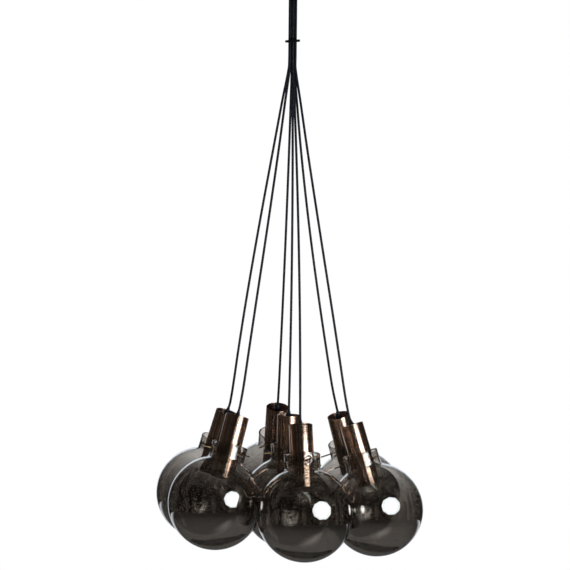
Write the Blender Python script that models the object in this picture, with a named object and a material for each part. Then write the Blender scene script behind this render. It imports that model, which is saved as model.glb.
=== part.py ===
# A cluster chandelier: seven smoked glass globes on copper tubes, each hung from its own cable.
# Metres, z up. The origin is the middle of the face that meets the ceiling, and the front is -y.
# A pendant's own frame has its origin at the globe's centre and its z axis up the copper tube.

import math

import bmesh
import bpy
from mathutils import Matrix
from mathutils import Vector

# Driving dimensions: the cluster
GLOBE_RADIUS = 0.100
GLOBE_GAP = 0.002
HANG_HEIGHT = 0.996
LEAN = math.radians(18.0)
FIRST_BEARING = math.radians(10.0)
SWING_LIMIT = math.radians(15.0)

# Driving dimensions: the glass
GLASS_WALL = 0.003
NECK_HEIGHT = 0.0345
NECK_SPACE = 0.010
HOLE_RADIUS = 0.004
PIN_LEVEL_SHARE = 0.5

# Driving dimensions: the copper tube and what it holds
TUBE_RADIUS = 0.025
TUBE_WALL = 0.0012
TUBE_LENGTH = 0.1355
TUBE_ABOVE_PINS = 0.080
BRIDGE_DEPTH = 0.030
BRIDGE_THICKNESS = 0.002
GRIP_RADIUS = 0.0072
GRIP_LIP = 0.0008
GRIP_RISE = 0.0095
NIPPLE_RADIUS = 0.005
NIPPLE_LENGTH = 0.006
HOLDER_RADIUS = 0.017
HOLDER_WALL = 0.0036
HOLDER_LENGTH = 0.048
HOLDER_CROWN = 0.010
CAP_DEPTH = 0.024
BULB_NECK = 0.006
BULB_SPACE = 0.003
BULB_RIM = 0.008
BULB_DOME = 0.004
BULB_RECESS = 0.005
CARRIER_HEIGHT = 0.008
CARRIER_SPACE = 0.001
PIN_RADIUS = 0.0015
PIN_REACH = 0.024
SHORT_PIN_REACH = 0.002
PIN_COUNT = 3

# Driving dimensions: the cables and the disc that gathers them
CABLE_RADIUS = 0.0026
CABLE_SPACING = 0.0018
STRAIGHT_END = 0.012
PIVOT_DROP = 0.035
DISC_MARGIN = 0.0059
DISC_THICKNESS = 0.0039
DISC_DROP = 0.150

# Driving dimensions: the ceiling fitting
CANOPY_RADIUS = 0.060
CANOPY_HEIGHT = 0.040
CANOPY_WALL = 0.0015
CANOPY_EDGE = 0.004
SHADOW_GAP = 0.0005
BAR_WIDTH = 0.020
BAR_THICKNESS = 0.003
BAR_END_SPACE = 0.0025
TAB_DROP = 0.019
TAB_WIDTH = 0.016
SCREW_RADIUS = 0.002
SCREW_DROP = 0.014
SCREW_HEAD_RADIUS = 0.0035
SCREW_HEAD_LENGTH = 0.0025
CEILING_SCREW_RADIUS = 0.0025
CEILING_SCREW_SPACING = 0.070
BLOCK_LENGTH = 0.044
BLOCK_MARGIN = 0.0034
BLOCK_HEIGHT = 0.013
BUSH_WALL = 0.0044
BUSH_FLANGE = 0.0045
BUSH_FLANGE_HEIGHT = 0.004
BUSH_BELOW = 0.010

# Clearances
GAP = 0.0003
HOLE_PLAY = 0.0005
OVERRUN = 0.005
MERGE_DISTANCE = 0.000001

# How finely round pieces are divided
GLOBE_SEGMENTS = 18
GLOBE_RINGS = 8
SMALL_SEGMENTS = 10
ROUND_SEGMENTS = 24
PIN_SEGMENTS = 8
CABLE_POINTS = 22
UPPER_CABLE_POINTS = 4
CABLE_BEVEL = 2
SHARP_ANGLE = math.radians(40.0)

# The outer pendants in turn, from the front towards the right.
OUTER_PENDANTS = ("front", "right_front", "right_back", "back", "left_back", "left_front")

# The pendant whose pins end just outside its neck.
SHORT_PINNED = "left_back"

# How far each outer globe hangs above the middle one, as a share of the globe's radius.
LIFT_SHARES = (0.05, -0.04, -0.01, 0.10, 0.09, 0.17)

# How far each outer cable bows inwards, as a share of its reach.
BOW_SHARES = (0.05, 0.015, 0.09, 0.05, 0.015, 0.09)

# The heading of one of each pendant's pins, in degrees from +x towards the front.
OUTER_HEADINGS = (70.0, 54.0, 42.0, 5.0, 30.0, 41.0)
MIDDLE_HEADING = 30.0

# An outer cable's route below its pivot: shares of the drop and of the reach outwards.
ROUTE_SHARES = (
    (0.03, 0.006),
    (0.12, 0.105),
    (0.25, 0.240),
    (0.40, 0.398),
    (0.55, 0.553),
    (0.70, 0.703),
    (0.83, 0.825),
    (0.93, 0.914),
)

# The grip's trumpet outline: shares of its rise above the tube and of its spread.
FLARE_SHARES = ((1.0, 0.0), (0.6, 0.1), (0.3, 0.34), (0.1, 0.78), (0.0, 1.0))

# Sizes that follow from the driving dimensions: the pendant's own frame
NECK_RADIUS = TUBE_RADIUS + NECK_SPACE + GLASS_WALL
NECK_BORE = NECK_RADIUS - GLASS_WALL
INNER_RADIUS = GLOBE_RADIUS - GLASS_WALL
NECK_BASE = math.sqrt(GLOBE_RADIUS**2 - NECK_RADIUS**2)
NECK_TOP = NECK_BASE + NECK_HEIGHT
PIN_LEVEL = NECK_BASE + NECK_HEIGHT * PIN_LEVEL_SHARE
HOLE_LEVEL = PIN_LEVEL - (HOLE_RADIUS - PIN_RADIUS - HOLE_PLAY)
TUBE_BORE = TUBE_RADIUS - TUBE_WALL
TUBE_TOP = PIN_LEVEL + TUBE_ABOVE_PINS
TUBE_BOTTOM = TUBE_TOP - TUBE_LENGTH
BRIDGE_TOP = TUBE_TOP - BRIDGE_DEPTH
BRIDGE_BOTTOM = BRIDGE_TOP - BRIDGE_THICKNESS
GRIP_TIP_RADIUS = CABLE_RADIUS + GRIP_LIP
GRIP_TOP = TUBE_TOP + GRIP_RISE
NIPPLE_BOTTOM = BRIDGE_BOTTOM - NIPPLE_LENGTH
HOLDER_TOP = BRIDGE_BOTTOM - GAP
HOLDER_MOUTH = HOLDER_TOP - HOLDER_LENGTH
HOLDER_BORE = HOLDER_RADIUS - HOLDER_WALL
CAP_RADIUS = HOLDER_BORE - GAP
BULB_FACE_RADIUS = TUBE_BORE - BULB_SPACE
BULB_TIP = TUBE_BOTTOM + BULB_RECESS
CARRIER_RADIUS = TUBE_BORE - GAP
CARRIER_BORE = HOLDER_RADIUS + CARRIER_SPACE
PIN_TIP = NECK_RADIUS + PIN_REACH
SHORT_PIN_TIP = NECK_RADIUS + SHORT_PIN_REACH

# Sizes that follow from the driving dimensions: the cluster in the object's frame
THREAD_HOLE_RADIUS = CABLE_RADIUS + HOLE_PLAY
CABLE_PITCH = CABLE_RADIUS * 2 + CABLE_SPACING
DISC_RADIUS = CABLE_PITCH + THREAD_HOLE_RADIUS + DISC_MARGIN
BUSH_RADIUS = CABLE_PITCH + THREAD_HOLE_RADIUS + BUSH_WALL
BLOCK_WIDTH = (CABLE_PITCH + CABLE_RADIUS + BLOCK_MARGIN) * 2
PIVOT_LEVEL = -DISC_DROP - PIVOT_DROP
MIDDLE_LEVEL = -DISC_DROP - HANG_HEIGHT
BLOCK_TOP = -BAR_THICKNESS - GAP
BLOCK_BOTTOM = BLOCK_TOP - BLOCK_HEIGHT
CABLE_TOP = BLOCK_BOTTOM - GAP
CANOPY_TOP = -SHADOW_GAP
CANOPY_FLOOR = CANOPY_TOP - CANOPY_HEIGHT
CANOPY_BORE = CANOPY_RADIUS - CANOPY_WALL
TAB_FACE = CANOPY_BORE - BAR_END_SPACE
OUTLET_RADIUS = BUSH_RADIUS + GAP
PIVOT_GAP = CABLE_RADIUS * math.sin(SWING_LIMIT) - GAP * math.cos(SWING_LIMIT) + GAP / 2


def material(name, colour, roughness, metallic, transmission=0.0):
    made = bpy.data.materials.new(name)
    made.use_nodes = True
    shader = made.node_tree.nodes["Principled BSDF"]
    shader.inputs["Base Color"].default_value = (*colour, 1.0)
    shader.inputs["Roughness"].default_value = roughness
    shader.inputs["Metallic"].default_value = metallic
    shader.inputs["Transmission Weight"].default_value = transmission
    made.diffuse_color = (*colour, 1.0)
    return made


def finish_mesh(bm, name):
    bmesh.ops.recalc_face_normals(bm, faces=bm.faces)
    mesh = bpy.data.meshes.new(name)
    bm.to_mesh(mesh)
    bm.free()
    mesh.shade_smooth()
    mesh.set_sharp_from_angle(angle=SHARP_ANGLE)
    return mesh


def turned_mesh(name, profile, segments, closed=False):
    # The profile is a list of (radius, height). The first flat is centred on the x axis.
    bm = bmesh.new()
    start = math.pi / segments
    verts = []
    for radius, height in profile:
        place = (radius * math.cos(start), radius * math.sin(start), height)
        verts.append(bm.verts.new(place))
    edges = [bm.edges.new(pair) for pair in zip(verts, verts[1:])]
    if closed:
        edges.append(bm.edges.new((verts[-1], verts[0])))
    bmesh.ops.spin(
        bm,
        geom=verts + edges,
        cent=(0, 0, 0),
        axis=(0, 0, 1),
        angle=math.tau,
        steps=segments,
        use_merge=True,
    )
    bmesh.ops.remove_doubles(bm, verts=bm.verts, dist=MERGE_DISTANCE)
    return finish_mesh(bm, name)


def box_mesh(name, lowest, highest):
    low = Vector(lowest)
    high = Vector(highest)
    bm = bmesh.new()
    place = Matrix.Translation((low + high) / 2) @ Matrix.Diagonal((*(high - low), 1))
    bmesh.ops.create_cube(bm, size=1, matrix=place)
    return finish_mesh(bm, name)


def rod_mesh(name, start, end, radius, segments):
    # A round rod from start to end, with a corner of its outline towards +z where it lies flat.
    start = Vector(start)
    end = Vector(end)
    along = end - start
    turn = along.to_track_quat("Z", "Y").to_matrix().to_4x4()
    place = Matrix.Translation((start + end) / 2) @ turn @ Matrix.Rotation(math.pi / 2, 4, "Z")
    bm = bmesh.new()
    bmesh.ops.create_cone(
        bm,
        cap_ends=True,
        segments=segments,
        radius1=radius,
        radius2=radius,
        depth=along.length,
        matrix=place,
    )
    return finish_mesh(bm, name)


def combined_mesh(name, base, tools, operation):
    # Joins the tools to the base, or cuts them from it, one after another.
    body = bpy.data.objects.new(name, base)
    bpy.context.scene.collection.objects.link(body)
    cutters = []
    for tool in tools:
        cutter = bpy.data.objects.new(tool.name, tool)
        cutter.hide_render = True
        cutter.display_type = "WIRE"
        bpy.context.scene.collection.objects.link(cutter)
        step = body.modifiers.new(tool.name, "BOOLEAN")
        step.operation = operation
        step.solver = "EXACT"
        step.object = cutter
        cutters.append(cutter)
    bpy.context.view_layer.update()
    seen = body.evaluated_get(bpy.context.evaluated_depsgraph_get())
    mesh = bpy.data.meshes.new_from_object(seen)
    mesh.name = name
    for done in cutters + [body]:
        bpy.data.objects.remove(done, do_unlink=True)
    mesh.shade_smooth()
    mesh.set_sharp_from_angle(angle=SHARP_ANGLE)
    return mesh


def place_object(name, data, finish, parent=None):
    made = bpy.data.objects.new(name, data)
    bpy.context.scene.collection.objects.link(made)
    made.parent = parent
    if not data.materials:
        data.materials.append(finish)
    return made


def arc(radius, first, last, count):
    # Points of a circle about the origin as (radius, height), angles from the horizontal.
    angles = [first + (last - first) * step / count for step in range(count + 1)]
    return [(radius * math.cos(angle), radius * math.sin(angle)) for angle in angles]


def radial_rods(name, start, end, height, radius):
    rods = []
    for index in range(PIN_COUNT):
        angle = math.tau * index / PIN_COUNT
        way = Vector((math.cos(angle), math.sin(angle), 0))
        level = Vector((0, 0, height))
        rod = rod_mesh(f"{name}_{index}", way * start + level, way * end + level, radius, PIN_SEGMENTS)
        rods.append(rod)
    return rods


def glass_globe_mesh():
    outer = arc(GLOBE_RADIUS, -math.pi / 2, math.asin(NECK_BASE / GLOBE_RADIUS), GLOBE_RINGS)
    inner_base = math.sqrt(INNER_RADIUS**2 - NECK_BORE**2)
    inner = arc(INNER_RADIUS, math.asin(inner_base / INNER_RADIUS), -math.pi / 2, GLOBE_RINGS)
    outer[0] = (0, -GLOBE_RADIUS)
    inner[-1] = (0, -INNER_RADIUS)
    edge = GLASS_WALL / 2
    rim = [
        (NECK_RADIUS, NECK_TOP - edge),
        (NECK_RADIUS - edge, NECK_TOP),
        (NECK_BORE, NECK_TOP - edge),
    ]
    shell = turned_mesh("globe_shell", outer + rim + inner, GLOBE_SEGMENTS)
    holes = radial_rods(
        "glass_hole", NECK_BORE - OVERRUN, NECK_RADIUS + OVERRUN, HOLE_LEVEL, HOLE_RADIUS
    )
    return combined_mesh("glass_globe", shell, holes, "DIFFERENCE")


def copper_tube_mesh():
    nipple_hole = NIPPLE_RADIUS + GAP
    profile = [
        (TUBE_BORE, TUBE_BOTTOM),
        (TUBE_RADIUS, TUBE_BOTTOM),
        (TUBE_RADIUS, TUBE_TOP),
        (TUBE_BORE, TUBE_TOP),
        (TUBE_BORE, BRIDGE_TOP),
        (nipple_hole, BRIDGE_TOP),
        (nipple_hole, BRIDGE_BOTTOM),
        (TUBE_BORE, BRIDGE_BOTTOM),
    ]
    wall = turned_mesh("tube_wall", profile, GLOBE_SEGMENTS, closed=True)
    holes = radial_rods(
        "tube_hole", TUBE_BORE - OVERRUN, TUBE_RADIUS + OVERRUN, PIN_LEVEL, PIN_RADIUS + HOLE_PLAY
    )
    return combined_mesh("copper_tube", wall, holes, "DIFFERENCE")


def pin_carrier_mesh(tip):
    low = PIN_LEVEL - CARRIER_HEIGHT / 2
    high = PIN_LEVEL + CARRIER_HEIGHT / 2
    profile = [
        (CARRIER_BORE, low),
        (CARRIER_RADIUS, low),
        (CARRIER_RADIUS, high),
        (CARRIER_BORE, high),
    ]
    ring = turned_mesh("carrier_ring", profile, GLOBE_SEGMENTS, closed=True)
    root = (CARRIER_BORE + CARRIER_RADIUS) / 2
    pins = radial_rods("pin", root, tip, PIN_LEVEL, PIN_RADIUS)
    return combined_mesh("pin_carrier", ring, pins, "UNION")


def cord_grip_mesh():
    spread = GRIP_RADIUS - GRIP_TIP_RADIUS
    profile = [(0, GRIP_TOP)]
    for rise_share, spread_share in FLARE_SHARES:
        profile.append((GRIP_TIP_RADIUS + spread * spread_share, TUBE_TOP + GRIP_RISE * rise_share))
    foot = BRIDGE_TOP + GAP
    profile += [
        (GRIP_RADIUS, foot),
        (NIPPLE_RADIUS, foot),
        (NIPPLE_RADIUS, NIPPLE_BOTTOM),
        (0, NIPPLE_BOTTOM),
    ]
    return turned_mesh("cord_grip", profile, SMALL_SEGMENTS)


def lampholder_mesh():
    socket_radius = NIPPLE_RADIUS + GAP
    socket_floor = NIPPLE_BOTTOM - GAP
    inside = HOLDER_TOP - HOLDER_CROWN
    profile = [
        (0, socket_floor),
        (socket_radius, socket_floor),
        (socket_radius, HOLDER_TOP),
        (HOLDER_RADIUS, HOLDER_TOP),
        (HOLDER_RADIUS, HOLDER_MOUTH),
        (HOLDER_BORE, HOLDER_MOUTH),
        (HOLDER_BORE, inside),
        (0, inside),
    ]
    return turned_mesh("lampholder", profile, SMALL_SEGMENTS)


def bulb_mesh():
    cap_top = HOLDER_MOUTH + CAP_DEPTH
    rim = BULB_TIP + BULB_DOME
    profile = [
        (0, cap_top),
        (CAP_RADIUS, cap_top),
        (CAP_RADIUS, HOLDER_MOUTH - BULB_NECK),
        (BULB_FACE_RADIUS, rim + BULB_RIM),
        (BULB_FACE_RADIUS, rim),
        (0, BULB_TIP),
    ]
    return turned_mesh("bulb", profile, SMALL_SEGMENTS)


def smooth_points(points, count):
    # Evenly spaced samples of the smooth curve through the points, up to the last straight stretch.
    ends = [points[0] * 2 - points[1]] + points + [points[-1] * 2 - points[-2]]
    fine = []
    for before, here, after, beyond in zip(ends, ends[1:], ends[2:], ends[3:]):
        for step in range(count):
            t = step / count
            leave = (after - before) / 2
            reach = (beyond - here) / 2
            fine.append(
                here * (2 * t**3 - 3 * t**2 + 1)
                + leave * (t**3 - 2 * t**2 + t)
                + after * (3 * t**2 - 2 * t**3)
                + reach * (t**3 - t**2)
            )
    fine = fine[: 1 - count]
    lengths = [0.0]
    for here, after in zip(fine, fine[1:]):
        lengths.append(lengths[-1] + (after - here).length)
    samples = []
    index = 0
    for step in range(count - 1):
        wanted = lengths[-1] * step / (count - 2)
        while index < len(fine) - 2 and lengths[index + 1] < wanted:
            index += 1
        span = lengths[index + 1] - lengths[index]
        share = (wanted - lengths[index]) / span
        samples.append(fine[index].lerp(fine[index + 1], min(share, 1)))
    return samples + [points[-1]]


def cable_curve(name, points):
    curve = bpy.data.curves.new(name, "CURVE")
    curve.dimensions = "3D"
    curve.bevel_depth = CABLE_RADIUS
    curve.bevel_resolution = CABLE_BEVEL
    curve.use_fill_caps = True
    spline = curve.splines.new("POLY")
    spline.points.add(len(points) - 1)
    for target, point in zip(spline.points, points):
        target.co = (*point, 1)
    return curve


def straight_points(top, bottom, count):
    return [top.lerp(bottom, step / (count - 1)) for step in range(count)]


def outer_route(reach, drop, bow_share):
    # In the pivot's own frame, whose -y axis points outwards.
    axis = Vector((0, math.sin(LEAN), math.cos(LEAN)))
    end = Vector((0, -reach, -drop)) + axis * (GRIP_TOP + GAP)
    start = Vector((0, 0, -PIVOT_GAP))
    points = [start]
    for drop_share, reach_share in ROUTE_SHARES:
        bow = 4 * bow_share * drop_share * (1 - drop_share)
        step = end - start
        points.append(Vector((0, step.y * (reach_share - bow), start.z + step.z * drop_share)))
    points.append(end + axis * STRAIGHT_END)
    points.append(end)
    return points


def pendant_pieces(label, parent, meshes, finishes):
    for kind, mesh in meshes.items():
        place_object(f"{label}_{kind}", mesh, finishes[kind], parent)


def empty(name, place, parent=None):
    made = bpy.data.objects.new(name, None)
    bpy.context.scene.collection.objects.link(made)
    made.parent = parent
    made.matrix_basis = place
    return made


def outer_bearing(index):
    return FIRST_BEARING + math.tau * index / len(OUTER_PENDANTS)


def outward_way(bearing):
    return Vector((math.sin(bearing), -math.cos(bearing), 0))


def outer_pendant(index, meshes, finishes):
    label = OUTER_PENDANTS[index]
    bearing = outer_bearing(index)
    outwards = outward_way(bearing)
    spacing = 2 * GLOBE_RADIUS + GLOBE_GAP
    lift = GLOBE_RADIUS * LIFT_SHARES[index]
    radius = math.sqrt(spacing**2 - lift**2)
    foot = outwards * CABLE_PITCH + Vector((0, 0, PIVOT_LEVEL + GAP))
    head = outwards * CABLE_PITCH + Vector((0, 0, CABLE_TOP))
    upper = cable_curve(f"{label}_cable_upper", straight_points(head, foot, UPPER_CABLE_POINTS))
    place_object(f"{label}_cable_upper", upper, finishes["cable"])
    pivot_place = Matrix.Translation(outwards * CABLE_PITCH + Vector((0, 0, PIVOT_LEVEL)))
    pivot = empty(f"{label}_pivot", pivot_place @ Matrix.Rotation(bearing, 4, "Z"))
    reach = radius - CABLE_PITCH
    drop = PIVOT_LEVEL - MIDDLE_LEVEL - lift
    points = smooth_points(outer_route(reach, drop, BOW_SHARES[index]), CABLE_POINTS)
    lower = cable_curve(f"{label}_cable", points)
    place_object(f"{label}_cable", lower, finishes["cable"], pivot)
    turn = -bearing - math.radians(OUTER_HEADINGS[index])
    hang = Matrix.Translation((0, -reach, -drop)) @ Matrix.Rotation(-LEAN, 4, "X")
    frame = empty(f"{label}_frame", hang @ Matrix.Rotation(turn, 4, "Z"), pivot)
    pendant_pieces(label, frame, meshes, finishes)


def middle_pendant(meshes, finishes):
    centre = Matrix.Translation((0, 0, MIDDLE_LEVEL))
    turn = Matrix.Rotation(-math.radians(MIDDLE_HEADING), 4, "Z")
    frame = empty("middle_frame", centre @ turn)
    pendant_pieces("middle", frame, meshes, finishes)
    head = Vector((0, 0, CABLE_TOP))
    foot = Vector((0, 0, MIDDLE_LEVEL + GRIP_TOP + GAP))
    cable = cable_curve("middle_cable", straight_points(head, foot, CABLE_POINTS))
    place_object("middle_cable", cable, finishes["cable"])


def cable_holes(name, low, high):
    tools = []
    places = [Vector((0, 0, 0))]
    for index in range(len(OUTER_PENDANTS)):
        places.append(outward_way(outer_bearing(index)) * CABLE_PITCH)
    for index, place in enumerate(places):
        bottom = place + Vector((0, 0, low - OVERRUN))
        top = place + Vector((0, 0, high + OVERRUN))
        tools.append(rod_mesh(f"{name}_{index}", bottom, top, THREAD_HOLE_RADIUS, PIN_SEGMENTS))
    return tools


def ceiling_bracket_mesh():
    half = BAR_WIDTH / 2
    bar = box_mesh("bar", (-TAB_FACE, -half, -BAR_THICKNESS), (TAB_FACE, half, 0))
    added = []
    for side in (-1, 1):
        ends = sorted((side * TAB_FACE, side * (TAB_FACE - BAR_THICKNESS)))
        tab_low = (ends[0], -TAB_WIDTH / 2, -BAR_THICKNESS - TAB_DROP)
        tab_high = (ends[1], TAB_WIDTH / 2, -BAR_THICKNESS / 2)
        added.append(box_mesh(f"tab_{side}", tab_low, tab_high))
        root = Vector((side * (TAB_FACE - BAR_THICKNESS / 2), 0, -SCREW_DROP))
        seat = Vector((side * (CANOPY_RADIUS + GAP), 0, -SCREW_DROP))
        end = seat + Vector((side * SCREW_HEAD_LENGTH, 0, 0))
        middle = (seat + end) / 2
        added.append(rod_mesh(f"shank_{side}", root, middle, SCREW_RADIUS, PIN_SEGMENTS))
        added.append(rod_mesh(f"head_{side}", seat, end, SCREW_HEAD_RADIUS, SMALL_SEGMENTS))
    whole = combined_mesh("bracket_whole", bar, added, "UNION")
    holes = []
    for side in (-1, 1):
        place = Vector((side * CEILING_SCREW_SPACING / 2, 0, 0))
        low = place - Vector((0, 0, BAR_THICKNESS + OVERRUN))
        high = place + Vector((0, 0, OVERRUN))
        holes.append(rod_mesh(f"fixing_{side}", low, high, CEILING_SCREW_RADIUS, SMALL_SEGMENTS))
    return combined_mesh("ceiling_bracket", whole, holes, "DIFFERENCE")


def canopy_cup_mesh():
    profile = [
        (OUTLET_RADIUS, CANOPY_FLOOR),
        (CANOPY_RADIUS - CANOPY_EDGE, CANOPY_FLOOR),
        (CANOPY_RADIUS, CANOPY_FLOOR + CANOPY_EDGE),
        (CANOPY_RADIUS, CANOPY_TOP),
        (CANOPY_BORE, CANOPY_TOP),
        (CANOPY_BORE, CANOPY_FLOOR + CANOPY_EDGE),
        (CANOPY_RADIUS - CANOPY_EDGE, CANOPY_FLOOR + CANOPY_WALL),
        (OUTLET_RADIUS, CANOPY_FLOOR + CANOPY_WALL),
    ]
    cup = turned_mesh("cup", profile, ROUND_SEGMENTS, closed=True)
    holes = []
    for side in (-1, 1):
        inside = Vector((side * (CANOPY_BORE - OVERRUN), 0, -SCREW_DROP))
        outside = Vector((side * (CANOPY_RADIUS + OVERRUN), 0, -SCREW_DROP))
        tool = rod_mesh(f"screw_hole_{side}", inside, outside, SCREW_RADIUS + GAP, PIN_SEGMENTS)
        holes.append(tool)
    return combined_mesh("canopy_cup", cup, holes, "DIFFERENCE")


def outlet_bush_mesh():
    seat = CANOPY_FLOOR + CANOPY_WALL + GAP
    top = seat + BUSH_FLANGE_HEIGHT
    bottom = CANOPY_FLOOR - BUSH_BELOW
    flange = BUSH_RADIUS + BUSH_FLANGE
    profile = [
        (0, bottom),
        (BUSH_RADIUS, bottom),
        (BUSH_RADIUS, seat),
        (flange, seat),
        (flange, top),
        (0, top),
    ]
    bush = turned_mesh("bush", profile, ROUND_SEGMENTS)
    return combined_mesh("outlet_bush", bush, cable_holes("bush_hole", bottom, top), "DIFFERENCE")


def gather_disc_mesh():
    low = -DISC_DROP - DISC_THICKNESS / 2
    high = -DISC_DROP + DISC_THICKNESS / 2
    profile = [(0, low), (DISC_RADIUS, low), (DISC_RADIUS, high), (0, high)]
    disc = turned_mesh("disc", profile, ROUND_SEGMENTS)
    return combined_mesh("gather_disc", disc, cable_holes("disc_hole", low, high), "DIFFERENCE")


def ceiling_fitting(finishes):
    place_object("ceiling_bracket", ceiling_bracket_mesh(), finishes["bracket"])
    place_object("canopy_cup", canopy_cup_mesh(), finishes["canopy"])
    place_object("outlet_bush", outlet_bush_mesh(), finishes["bush"])
    half_length = BLOCK_LENGTH / 2
    half_width = BLOCK_WIDTH / 2
    block = box_mesh(
        "terminal_block",
        (-half_length, -half_width, BLOCK_BOTTOM),
        (half_length, half_width, BLOCK_TOP),
    )
    place_object("terminal_block", block, finishes["block"])
    place_object("gather_disc", gather_disc_mesh(), finishes["disc"])


def build():
    for old in list(bpy.data.objects):
        bpy.data.objects.remove(old, do_unlink=True)
    copper = material("polished_copper", (0.60, 0.25, 0.13), 0.12, 1.0)
    glass = material("smoked_glass", (0.10, 0.095, 0.09), 0.03, 0.0, 0.8)
    brass = material("brass", (0.52, 0.36, 0.13), 0.22, 1.0)
    rubber = material("black_rubber", (0.012, 0.014, 0.020), 0.55, 0.0)
    sheath = material("black_cable_sheath", (0.012, 0.012, 0.015), 0.5, 0.0)
    ceramic = material("white_ceramic", (0.70, 0.68, 0.64), 0.35, 0.0)
    opal = material("opal_glass", (0.85, 0.83, 0.78), 0.3, 0.0)
    black_paint = material("black_paint", (0.015, 0.015, 0.017), 0.4, 0.0)
    zinc = material("zinc_plated_steel", (0.45, 0.45, 0.46), 0.35, 1.0)
    plastic = material("white_plastic", (0.75, 0.75, 0.73), 0.4, 0.0)
    finishes = {
        "glass_globe": glass,
        "copper_tube": copper,
        "pin_carrier": brass,
        "cord_grip": rubber,
        "lampholder": ceramic,
        "bulb": opal,
        "cable": sheath,
        "bracket": zinc,
        "canopy": black_paint,
        "bush": rubber,
        "block": plastic,
        "disc": black_paint,
    }
    meshes = {
        "glass_globe": glass_globe_mesh(),
        "copper_tube": copper_tube_mesh(),
        "pin_carrier": pin_carrier_mesh(PIN_TIP),
        "cord_grip": cord_grip_mesh(),
        "lampholder": lampholder_mesh(),
        "bulb": bulb_mesh(),
    }
    ceiling_fitting(finishes)
    middle_pendant(meshes, finishes)
    short_meshes = dict(meshes, pin_carrier=pin_carrier_mesh(SHORT_PIN_TIP))
    for index, label in enumerate(OUTER_PENDANTS):
        outer_pendant(index, short_meshes if label == SHORT_PINNED else meshes, finishes)


build()
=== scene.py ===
import math

import bmesh
import bpy
from mathutils import Matrix, Vector


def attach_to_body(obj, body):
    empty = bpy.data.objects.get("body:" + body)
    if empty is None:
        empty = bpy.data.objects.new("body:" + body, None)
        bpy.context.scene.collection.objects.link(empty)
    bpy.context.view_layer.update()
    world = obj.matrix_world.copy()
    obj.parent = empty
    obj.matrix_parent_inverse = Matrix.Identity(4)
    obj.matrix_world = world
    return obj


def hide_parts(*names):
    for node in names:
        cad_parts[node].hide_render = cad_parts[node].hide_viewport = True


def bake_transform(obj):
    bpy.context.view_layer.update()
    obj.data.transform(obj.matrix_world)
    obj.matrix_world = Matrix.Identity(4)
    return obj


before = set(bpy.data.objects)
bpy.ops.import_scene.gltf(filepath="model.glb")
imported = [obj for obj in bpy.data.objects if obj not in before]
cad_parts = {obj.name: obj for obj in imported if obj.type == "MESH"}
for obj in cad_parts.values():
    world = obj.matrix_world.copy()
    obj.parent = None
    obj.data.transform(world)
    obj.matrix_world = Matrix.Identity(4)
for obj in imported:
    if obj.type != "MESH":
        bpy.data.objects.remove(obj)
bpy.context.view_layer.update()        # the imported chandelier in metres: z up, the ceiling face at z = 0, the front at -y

scene = bpy.context.scene


# Camera: it stands 5 m away, 0.8 m above the globes, and looks slightly down
camera = {
    "place": (-0.011, -5.0, -0.3606),
    "lookDown": math.radians(3.59),
    "roll": math.radians(0.578),
    "lens": 146.6,  # millimetres, as the sensor
    "sensor": 36.0,
}


def makeCamera():
    lens = bpy.data.cameras.new("camera")
    lens.lens = camera["lens"]
    lens.sensor_width = camera["sensor"]
    eye = bpy.data.objects.new("camera", lens)
    scene.collection.objects.link(eye)
    tilt = Matrix.Rotation(math.pi / 2 - camera["lookDown"], 4, "X")
    eye.matrix_world = Matrix.Translation(camera["place"]) @ tilt @ Matrix.Rotation(camera["roll"], 4, "Z")
    scene.camera = eye


makeCamera()
print("camera placed")


# The cluster: one pendant in the middle and six round it, in turn from the front towards the right
cluster = {
    "names": ("front", "right_front", "right_back", "back", "left_back", "left_front"),
    "globeRadius": 0.100,
    "globeGap": 0.002,  # between a globe and the middle one
    "lean": math.radians(18.0),
    "firstBearing": math.radians(10.0),
    "pins": 3,  # on each pendant, with as many holes in its tube and its neck
    "pinHeadings": (70.0, 54.0, 42.0, 5.0, 30.0, 41.0),  # degrees from +x towards the front
    "middleHeading": 30.0,
    "liftShares": (0.05, -0.04, -0.01, 0.10, 0.09, 0.17),  # of the globe's radius, above the middle globe
    "cablePitch": 0.007,
    "middleLevel": -1.146,
    "pivotLevel": -0.185,
}


def bearingOf(index):
    return cluster["firstBearing"] + math.tau * index / len(cluster["names"])


def outwardWay(bearing):
    return Vector((math.sin(bearing), -math.cos(bearing), 0))


def pendantPlaces():
    # A pendant's own frame has its origin at the globe's centre, its z axis up the tube and a pin on +x
    turn = Matrix.Rotation(-math.radians(cluster["middleHeading"]), 4, "Z")
    places = {"middle": Matrix.Translation((0, 0, cluster["middleLevel"])) @ turn}
    spacing = 2 * cluster["globeRadius"] + cluster["globeGap"]
    for index, label in enumerate(cluster["names"]):
        bearing = bearingOf(index)
        lift = cluster["globeRadius"] * cluster["liftShares"][index]
        reach = math.sqrt(spacing**2 - lift**2)
        centre = outwardWay(bearing) * reach + Vector((0, 0, cluster["middleLevel"] + lift))
        heading = math.radians(cluster["pinHeadings"][index])
        turn = Matrix.Rotation(bearing, 4, "Z") @ Matrix.Rotation(-cluster["lean"], 4, "X")
        places[label] = Matrix.Translation(centre) @ turn @ Matrix.Rotation(-bearing - heading, 4, "Z")
    return places


places = pendantPlaces()


# Colour and nodes
def fromHex(code):
    # sRGB hex to the linear colour that shaders take
    channels = [int(code[start : start + 2], 16) / 255 for start in (1, 3, 5)]
    return [c / 12.92 if c <= 0.04045 else ((c + 0.055) / 1.055) ** 2.4 for c in channels] + [1.0]


def addNode(tree, kind, settings=None, inputs=None):
    # An input takes a plain value, or the output socket that feeds it
    node = tree.nodes.new("ShaderNode" + kind)
    for name, value in (settings or {}).items():
        setattr(node, name, value)
    for socket, value in (inputs or {}).items():
        if isinstance(value, bpy.types.NodeSocket):
            tree.links.new(value, node.inputs[socket])
        else:
            node.inputs[socket].default_value = value
    return node


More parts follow.
